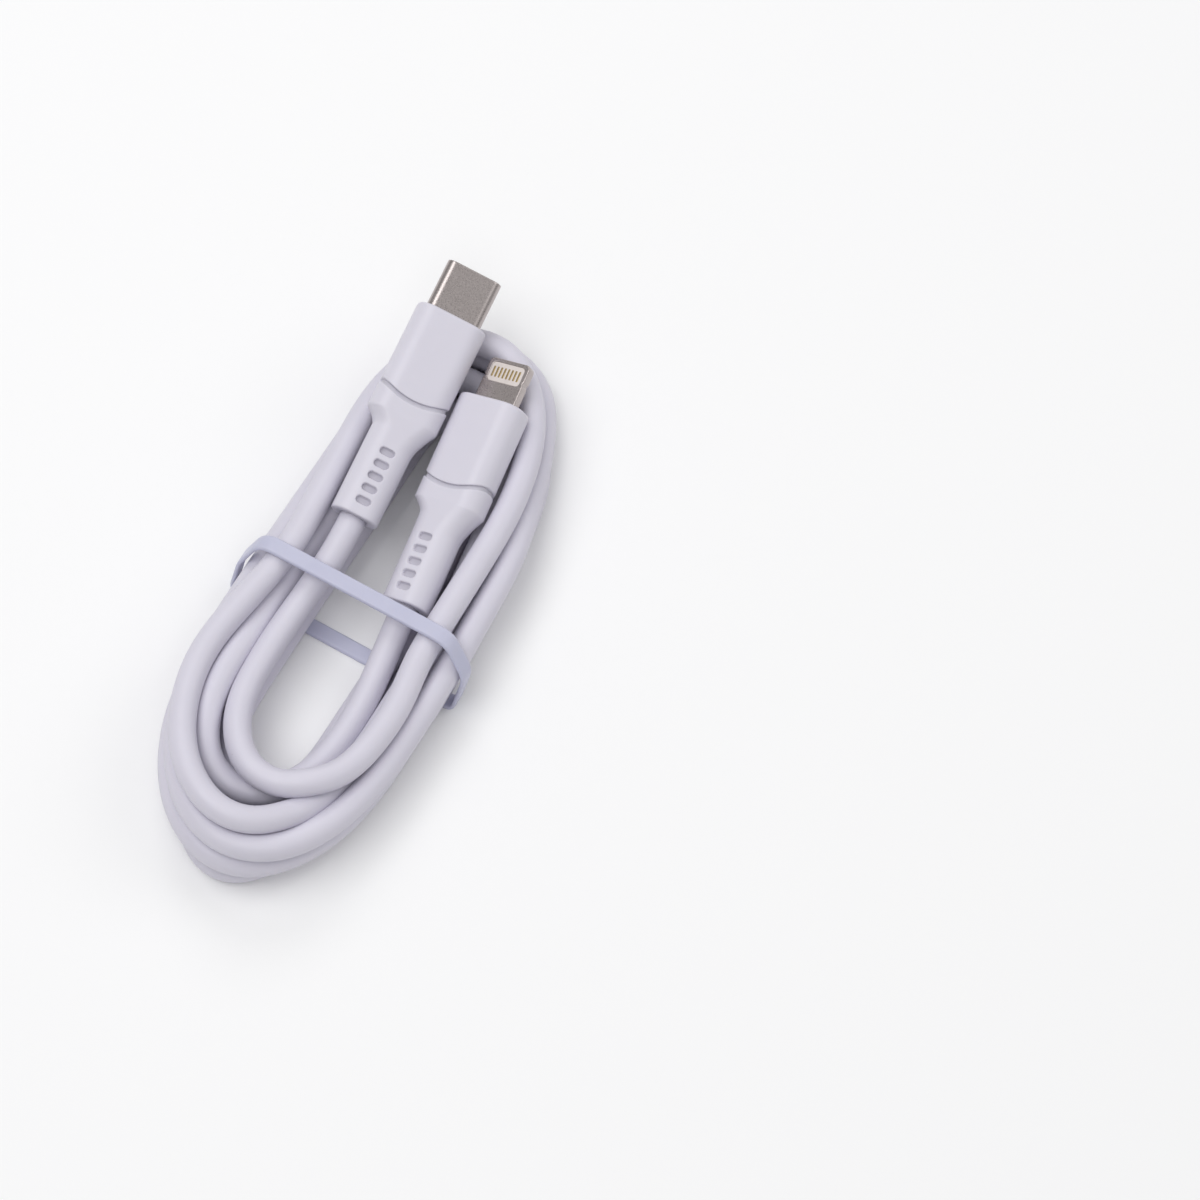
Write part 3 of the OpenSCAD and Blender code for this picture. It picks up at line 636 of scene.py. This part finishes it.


def plug_body(name, plug, body, opening_w, opening_t, opening_r, node):
    """The moulded sleeve: open skin with rounded edges at the groove and at the tip."""
    n = 140
    rings = []

    def back_ring(inset, step):
        outline = section(BODY_W - 2 * inset, BODY_T - 2 * inset, BODY_R - inset, n)
        return ring_at(groove_x(outline[:, 0], -1) + step, outline)

    core = section(CORE_W + CORE_GAP, CORE_T + CORE_GAP, CORE_R, n)
    rings.append(ring_at(BOOT_LEN + 1.6, core))
    rings.append(ring_at(groove_x(core[:, 0], -1) + 0.02, core))
    rings.append(back_ring(EDGE_R + 0.04, 0.0))
    for a in quarter_angles(4):
        rings.append(back_ring(EDGE_R * (1 - math.sin(a)), EDGE_R * (1 - math.cos(a))))
    rings.append(back_ring(0.0, EDGE_R + LAP))
    outer = section(BODY_W, BODY_T, BODY_R, n)
    start = groove_x(outer[:, 0], -1) + EDGE_R + LAP
    for f in np.linspace(0.12, 1.0, 9):
        rings.append(ring_at(start + (TIP_X - FRONT_R - 0.15 - start) * f, outer))
    for a in quarter_angles(6):
        inset = FRONT_R * (1 - math.cos(a))
        outline = section(BODY_W - 2 * inset, BODY_T - 2 * inset, BODY_R - inset, n)
        rings.append(ring_at(TIP_X - FRONT_R + FRONT_R * math.sin(a), outline))
    inset = FRONT_R + LAP
    rings.append(ring_at(TIP_X, section(BODY_W - 2 * inset, BODY_T - 2 * inset, BODY_R - inset, n)))
    mouth = section(opening_w + 0.16, opening_t + 0.16, opening_r + 0.08, n)
    rings.append(ring_at(TIP_X, mouth))
    mouth = section(opening_w + 0.06, opening_t + 0.06, opening_r + 0.03, n)
    rings.append(ring_at(TIP_X - 0.06, mouth))
    rings.append(ring_at(TIP_X - 0.5, mouth))
    points, faces = skin(rings)
    obj = dress(new_mesh(name, plug.world(points), faces), MOULDING)
    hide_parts(node)
    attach(obj, body)


def slot_depth(x, y):
    """Share of the full slot depth at points of a broad face, with a rounded rim to each slot."""
    rim_out, rim = 0.07, 0.2
    deep = np.zeros(len(x))
    across = np.maximum(np.abs(y) - (SLOT_L - SLOT_W) / 2, 0)
    for i in range(SLOTS):
        d = np.hypot(x - (BOOT_LEN - SLOT_FIRST - i * SLOT_PITCH), across) - SLOT_W / 2
        f = np.clip((rim_out - d) / rim, 0, 1)
        deep = np.maximum(deep, f * f * (3 - 2 * f))
    return deep


def plug_boot(name, plug, node):
    """The slotted boot: fine rings, so that the slots are real hollows with rounded rims; their floors get a
    darker material, which is painted shade.
    """
    n = 200
    rings, hollows = [], {}

    def outline_at(x, inset=0.0):
        left, right = half_width(x, left=True) - inset, half_width(x) - inset
        step = (half_width(x) - NECK_W / 2) / ((BODY_W - NECK_W) / 2)
        t = NECK_T + (BODY_T - NECK_T) * step - 2 * inset
        outline = section(left + right, t, min(BODY_R, t / 2 - 0.05), n)
        return outline, (left - right) / 2

    hole = section(CORD_D + 0.1, CORD_D + 0.1, CORD_D, n)
    rings.append(ring_at(1.2, hole))
    rings.append(ring_at(0.1, hole))
    rings.append(ring_at(0.0, section(CORD_D + 0.3, CORD_D + 0.3, CORD_D, n)))
    for a in quarter_angles(4):
        outline, shift = outline_at(0.0, CORD_END_R * (1 - math.sin(a)))
        rings.append(ring_at(CORD_END_R * (1 - math.cos(a)), outline, shift))
    slotted = np.arange(0.4, SLOTS_END - 0.1, 0.09)
    shoulders = np.arange(SLOTS_END - 0.05, BOOT_LEN - SHOULDER_START + 0.3, 0.16)
    for x in [*slotted, *shoulders]:
        outline, shift = outline_at(x)
        ring = ring_at(x, outline, shift)
        if x < SLOTS_END:
            deep = slot_depth(ring[:, 0], ring[:, 1])
            floor = np.sign(ring[:, 2]) * (NECK_T / 2 - SLOT_DEPTH)
            ring[:, 2] += (floor - ring[:, 2]) * deep
            hollows[len(rings)] = deep
        rings.append(ring)
    outline, shift = outline_at(BOOT_LEN)
    end = groove_x(outline[:, 0], 1) - EDGE_R
    start = shoulders[-1]
    for f in (0.4, 0.8, 1.0):
        rings.append(ring_at(start + (end - 0.1 - start) * f, outline))
    for a in quarter_angles(4):
        inset = EDGE_R * (1 - math.cos(a))
        outline = section(BODY_W - 2 * inset, BODY_T - 2 * inset, BODY_R - inset, n)
        rings.append(ring_at(groove_x(outline[:, 0], 1) - EDGE_R + EDGE_R * math.sin(a), outline))
    lip = section(BODY_W - 0.56, BODY_T - 0.56, BODY_R - 0.28, n)
    rings.append(ring_at(groove_x(lip[:, 0], 1) + 0.03, lip))
    rings.append(ring_at(groove_x(lip[:, 0], -1) - 0.02, lip))
    core = section(CORE_W + CORE_GAP, CORE_T + CORE_GAP, CORE_R, n)
    rings.append(ring_at(groove_x(core[:, 0], -1) - 0.02, core))
    rings.append(ring_at(groove_x(core[:, 0], 1) - 0.8, core))
    points, faces = skin(rings)
    obj = dress(new_mesh(name, plug.world(points), faces), RUBBER)
    # The deeper parts of the slots take the darker material: painted shade.
    obj.data.materials.append(PAINTED_SHADE_RECESS.material)
    for k, deep in hollows.items():
        for i in np.where(deep > PAINTED_SHADE_SHARE)[0]:
            obj.data.polygons[k * n + int(i)].material_index = 1
    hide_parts(node)
    bend(obj, plug)


def bend(obj, plug):
    """Bakes the piece's placement into its mesh; the two ends of the slotted length are worked out, but the
    piece is not bent.
    """
    start, end = plug.world([(0.5, 0, 0), (10.5, 0, 0)])
    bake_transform(obj)


def cord_end(name, plug, node):
    """The cord's last part, inside the boot."""
    line = plug.world([(x, 0, 0) for x in np.arange(0.0, BOOT_LEN - SHOULDER_START - 0.2, 0.5)])
    obj = dress(tube(name, line, (CORD_D / 2 - 0.01) * MM), JACKET)
    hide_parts(node)
    bend(obj, plug)


plug_body("charger_sleeve", CHARGER, "charger_end", SHELL_W, SHELL_T, SHELL_T / 2, "charger_body")
plug_body("phone_sleeve", PHONE, "phone_end", TAB_W, TAB_T, 0.3, "phone_body")
plug_boot("charger_relief", CHARGER, "charger_boot")
plug_boot("phone_relief", PHONE, "phone_boot")
cord_end("charger_cord_end", CHARGER, "charger_cord_stub")
cord_end("phone_cord_end", PHONE, "phone_cord_stub")

# ---------------------------------------------------------------- metal plugs


def charger_metal():
    """The drawn oval shell with a rolled rim."""
    n, rim = 120, SHELL_WALL / 2
    tip = TIP_X + SHELL_LEN
    inner_w, inner_t = SHELL_W - 2 * SHELL_WALL, SHELL_T - 2 * SHELL_WALL
    rings = [ring_at(CAN_X1 + 0.1, section(inner_w, inner_t, inner_t, n))]
    rings.append(ring_at(tip - rim - 0.3, section(inner_w, inner_t, inner_t, n)))
    for i in range(9):
        a = math.pi * i / 8
        outwards = SHELL_WALL - SHELL_WALL * math.cos(a)
        w, t = inner_w + outwards, inner_t + outwards
        rings.append(ring_at(tip - rim + rim * math.sin(a), section(w, t, t, n)))
    for x in (tip - rim - 0.12, tip - 3.0, TIP_X + 0.2, CAN_X1 + 0.1):
        rings.append(ring_at(x, section(SHELL_W, SHELL_T, SHELL_T, n)))
    points, faces = skin(rings, joined=True)
    obj = dress(new_mesh("charger_metal", CHARGER.world(points), faces), NICKEL)
    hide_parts("charger_shell")
    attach(obj, "charger_end")


def corner_rounded_plan(x0, x1, width, radius, arc=10):
    """Plan of a rectangle with rounded corners, counter-clockwise from the middle of its front side."""
    points = [(x1, 0.0)]
    for q in range(4):
        cx = x1 - radius if q in (0, 3) else x0 + radius
        cy = (width / 2 - radius) * (1 if q < 2 else -1)
        for i in range(arc + 1):
            a = math.pi / 2 * (q + i / arc)
            points.append((cx + radius * math.cos(a), cy + radius * math.sin(a)))
    return np.array(points)


def tab_plan(x0, x1):
    """Plan of the thin plug with its two side notches."""
    window_x0 = x1 - WINDOW_TIP - WINDOW_L
    notch_x, notch_r, notch_in = window_x0 + 0.6, 0.45, 0.3
    reach = math.sqrt(notch_r**2 - notch_in**2)
    start = math.atan2(notch_in, reach)
    points = [(x1, 0.0)]
    for a in quarter_angles(12):
        points.append((x1 - TAB_R + TAB_R * math.cos(a), TAB_W / 2 - TAB_R + TAB_R * math.sin(a)))
    for i in range(9):
        a = -start - (math.pi - 2 * start) * i / 8
        points.append((notch_x + notch_r * math.cos(a), TAB_W / 2 + notch_in + notch_r * math.sin(a)))
    points.append((x0, TAB_W / 2))
    half = np.array(points)
    mirror = half[1:][::-1] * (1, -1)
    return np.vstack([half, [(x0, 0.0)], mirror])


def inward(plan, distance):
    """A closed counter-clockwise plan moved inwards by a distance."""
    along = np.roll(plan, -1, axis=0) - np.roll(plan, 1, axis=0)
    along /= np.linalg.norm(along, axis=1)[:, None] + 1e-9
    return plan + np.column_stack([-along[:, 1], along[:, 0]]) * distance


def cast(centre, toward, plan):
    """Where the rays from the centre through the points meet a closed plan."""
    hits = []
    a, b = plan, np.roll(plan, -1, axis=0)
    for p in toward:
        d = p - centre
        e = b - a
        det = d[0] * e[:, 1] - d[1] * e[:, 0]
        det[np.abs(det) < 1e-12] = 1e-12
        w = a - centre
        t = (w[:, 0] * e[:, 1] - w[:, 1] * e[:, 0]) / det
        u = (w[:, 0] * d[1] - w[:, 1] * d[0]) / det
        good = (t > 0) & (u >= -1e-6) & (u <= 1 + 1e-6)
        hits.append(centre + d * t[good].min())
    return np.array(hits)


def phone_metal():
    """The thin plug: one closed skin round the window, with rounded edges."""
    tip = TIP_X + TAB_LEN
    window_x1 = tip - WINDOW_TIP
    window_x0 = window_x1 - WINDOW_L
    plan = even_loop(tab_plan(CAN_X1 + 0.1, tip), 360)
    window = corner_rounded_plan(window_x0, window_x1, WINDOW_W, 0.6)
    centre = np.array([(window_x0 + window_x1) / 2, 0.0])
    round_r, flat, bevel, wall = 0.16, 0.04, 0.04, 0.4
    half = TAB_T / 2
    hole = cast(centre, plan, window)
    levels = [(hole, half - wall), (hole, half - bevel)]
    levels += [(centre + (hole - centre) * wider, half) for wider in (1.015, 1.03)]
    levels.append((inward(plan, round_r + flat), half))
    for a in quarter_angles(5):
        levels.append((inward(plan, round_r * (1 - math.sin(a))), half - round_r * (1 - math.cos(a))))
    rings = [flat_ring(outline, -z) for outline, z in levels]
    rings += [flat_ring(outline, z) for outline, z in levels[::-1]]
    points, faces = skin(rings, joined=True)
    obj = dress(new_mesh("phone_metal", PHONE.world(points), faces), NICKEL)
    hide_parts("phone_plug_frame")
    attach(obj, "phone_end")
    return window_x0, window_x1


def bar(plan, z0, z1, edge):
    """A flat block from a plan, with its edges rounded above and below."""
    rings = []
    for a in quarter_angles(3):
        rings.append(flat_ring(inward(plan, edge * (1 - math.sin(a))), z0 + edge * (1 - math.cos(a))))
    for a in quarter_angles(3):
        rings.append(flat_ring(inward(plan, edge * (1 - math.cos(a))), z1 - edge + edge * math.sin(a)))
    return skin(rings, capped=True)


def phone_face(window_x0, window_x1):
    """The white bed that fills the window, and the gold pads on both faces."""
    gap, sunk = 0.02, 0.03
    plan = corner_rounded_plan(window_x0 + gap, window_x1 - gap, WINDOW_W - 2 * gap, 0.58)
    points, faces = bar(even_loop(plan, 120), -TAB_T / 2 + sunk, TAB_T / 2 - sunk, 0.06)
    obj = dress(new_mesh("phone_bed", PHONE.world(points), faces), CONTACT_BED)
    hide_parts("phone_contact_bed")
    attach(obj, "phone_end")
    middle = (window_x0 + window_x1) / 2
    for name, side in (("phone_pads_top", 1), ("phone_pads_bottom", -1)):
        points, faces = [], []
        for i in range(PADS):
            y = (i - (PADS - 1) / 2) * PAD_PITCH
            pad = corner_rounded_plan(middle - PAD_L / 2, middle + PAD_L / 2, PAD_W, 0.12, arc=5)
            low, high = sorted((side * (TAB_T / 2 - 0.15), side * (TAB_T / 2 - 0.005)))
            p, f = bar(pad + (0, y), low, high, 0.05)
            start = sum(len(q) for q in points)
            points.append(p)
            faces += [tuple(v + start for v in face) for face in f]
        obj = dress(new_mesh(name, PHONE.world(np.vstack(points)), faces), GOLD)
        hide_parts("phone_contacts_top" if side > 0 else "phone_contacts_bottom")
        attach(obj, "phone_end")


charger_metal()
phone_face(*phone_metal())

# ---------------------------------------------------------------- the stretch band


def outer_hull(points):
    """Convex outline of points in a plane, counter-clockwise."""
    points = sorted(map(tuple, points))

    def turns_left(a, b, c):
        return (b[0] - a[0]) * (c[1] - a[1]) > (b[1] - a[1]) * (c[0] - a[0])

    def half(run):
        chain = []
        for p in run:
            while len(chain) > 1 and not turns_left(chain[-2], chain[-1], p):
                chain.pop()
            chain.append(p)
        return chain[:-1]

    return np.array(half(points) + half(points[::-1]))


def stretch_band():
    """The band: its profile swept round the outline of six circles, one at each corner of the hank.

    On the left it stands off the turns, the top one above all, because that one runs outwards along the
    way that the band slides.
    """
    upper_r = CORD_D / 2 + BAND_RISE
    low_z, reach = BAND_T + BAND_LOW_R, upper_r - BAND_LOW_R
    left_room, top_left_room = 0.15, 1.6
    circles = [
        (LEFT_AT[2][0] + reach + left_room, low_z, BAND_LOW_R),
        (LEFT_AT[1][0] + left_room, LEFT_AT[1][1], upper_r),
        (LEFT_AT[0][0] + top_left_room, LEFT_AT[0][1], upper_r),
        (CHARGER_ROUTE[11][1], CHARGER_ROUTE[11][2], upper_r),
        (RIGHT_AT[2][0], RIGHT_AT[2][1], upper_r),
        (RIGHT_AT[3][0] - reach, low_z, BAND_LOW_R),
    ]
    a = np.linspace(0, 2 * math.pi, 64, endpoint=False)
    cloud = []
    for y, z, r in circles:
        middle = r + BAND_T / 2
        cloud.append(np.column_stack([y + middle * np.cos(a), z + middle * np.sin(a)]))
    loop = even_loop(outer_hull(np.vstack(cloud)), 260)
    for _ in range(4):
        loop = loop * 0.5 + (np.roll(loop, 1, axis=0) + np.roll(loop, -1, axis=0)) * 0.25
    forward = np.roll(loop, -1, axis=0) - np.roll(loop, 1, axis=0)
    forward /= np.linalg.norm(forward, axis=1)[:, None]
    outward = np.column_stack([forward[:, 1], -forward[:, 0]])
    profile = section(BAND_W / math.cos(math.radians(BAND_LEAN)), BAND_T, 0.27, 28, arc=6)
    lean = math.tan(math.radians(BAND_LEAN))
    rings = []
    for point, out in zip(loop, outward):
        yz = point + np.outer(profile[:, 1], out)
        x = BAND_X + yz[:, 1] * lean + profile[:, 0]
        rings.append((np.column_stack([x, yz]) + CENTRING) * MM)
    points, faces = skin(rings, joined=True)
    obj = dress(new_mesh("stretch_band", points, faces), BAND)
    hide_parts("tie_band")
    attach(obj, "band")


stretch_band()

# ---------------------------------------------------------------- CAD pieces that stay

for surface, names in (
    (BLACK, ("charger_insulator", "charger_chip", "phone_chip")),
    (GOLD, ("charger_contacts_top", "charger_contacts_bottom")),
    (NICKEL, ("charger_latches",)),
    (TINNED, ("charger_shield", "phone_shield", "charger_ferrule", "phone_ferrule")),
    (BOARD, ("charger_board", "phone_board")),
    (FILLING, ("charger_inner_mould", "phone_inner_mould")),
    (WIRE, ("charger_wires", "phone_wires")),
):
    for node in names:
        dress(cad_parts[node], surface)

# ---------------------------------------------------------------- floor and light

FLOOR_HALF, FLOOR_Z = 3.0, -0.00002  # the floor lies just below the cord, so that no two faces share a plane
LIGHT_AIM = Vector((0.0, 0.0, 0.01))


def add_floor():
    corners = ((-1, -1), (1, -1), (1, 1), (-1, 1))
    points = [(x * FLOOR_HALF, y * FLOOR_HALF, FLOOR_Z) for x, y in corners]
    floor = new_mesh("floor", points, [(0, 1, 2, 3)])
    s = Surface("floor", (0.93, 0.93, 0.935), 0.75, specular=0.2)
    s.tint(s.ramp(s.noise(0.4, 2), 0.4, 0.0, 0.7, 0.5), (0.925, 0.925, 0.93))
    dress(floor, s)


def add_light(name, place, size, power):
    """A soft round lamp that points at the hank."""
    data = bpy.data.lights.new(name, "AREA")
    data.shape = "DISK"
    data.size = size
    data.energy = power
    light = bpy.data.objects.new(name, data)
    bpy.context.scene.collection.objects.link(light)
    light.location = place
    light.rotation_mode = "QUATERNION"
    light.rotation_quaternion = (LIGHT_AIM - Vector(place)).to_track_quat("-Z", "Y")


def add_world(color, strength):
    world = bpy.data.worlds.new("studio")
    world.use_nodes = True
    background = world.node_tree.nodes["Background"]
    background.inputs["Color"].default_value = (*color, 1)
    background.inputs["Strength"].default_value = strength
    bpy.context.scene.world = world


add_floor()
add_world((1.0, 1.0, 1.0), 0.40)
add_light("key", (-0.12, 0.28, 0.85), 0.7, 3.3)
add_light("side", (0.45, -0.45, 0.6), 0.6, 1.1)
add_light("back", (0.5, 0.35, 0.6), 0.4, 1.1)
add_light("front", (-0.3, -0.18, 0.75), 0.5, 0.8)
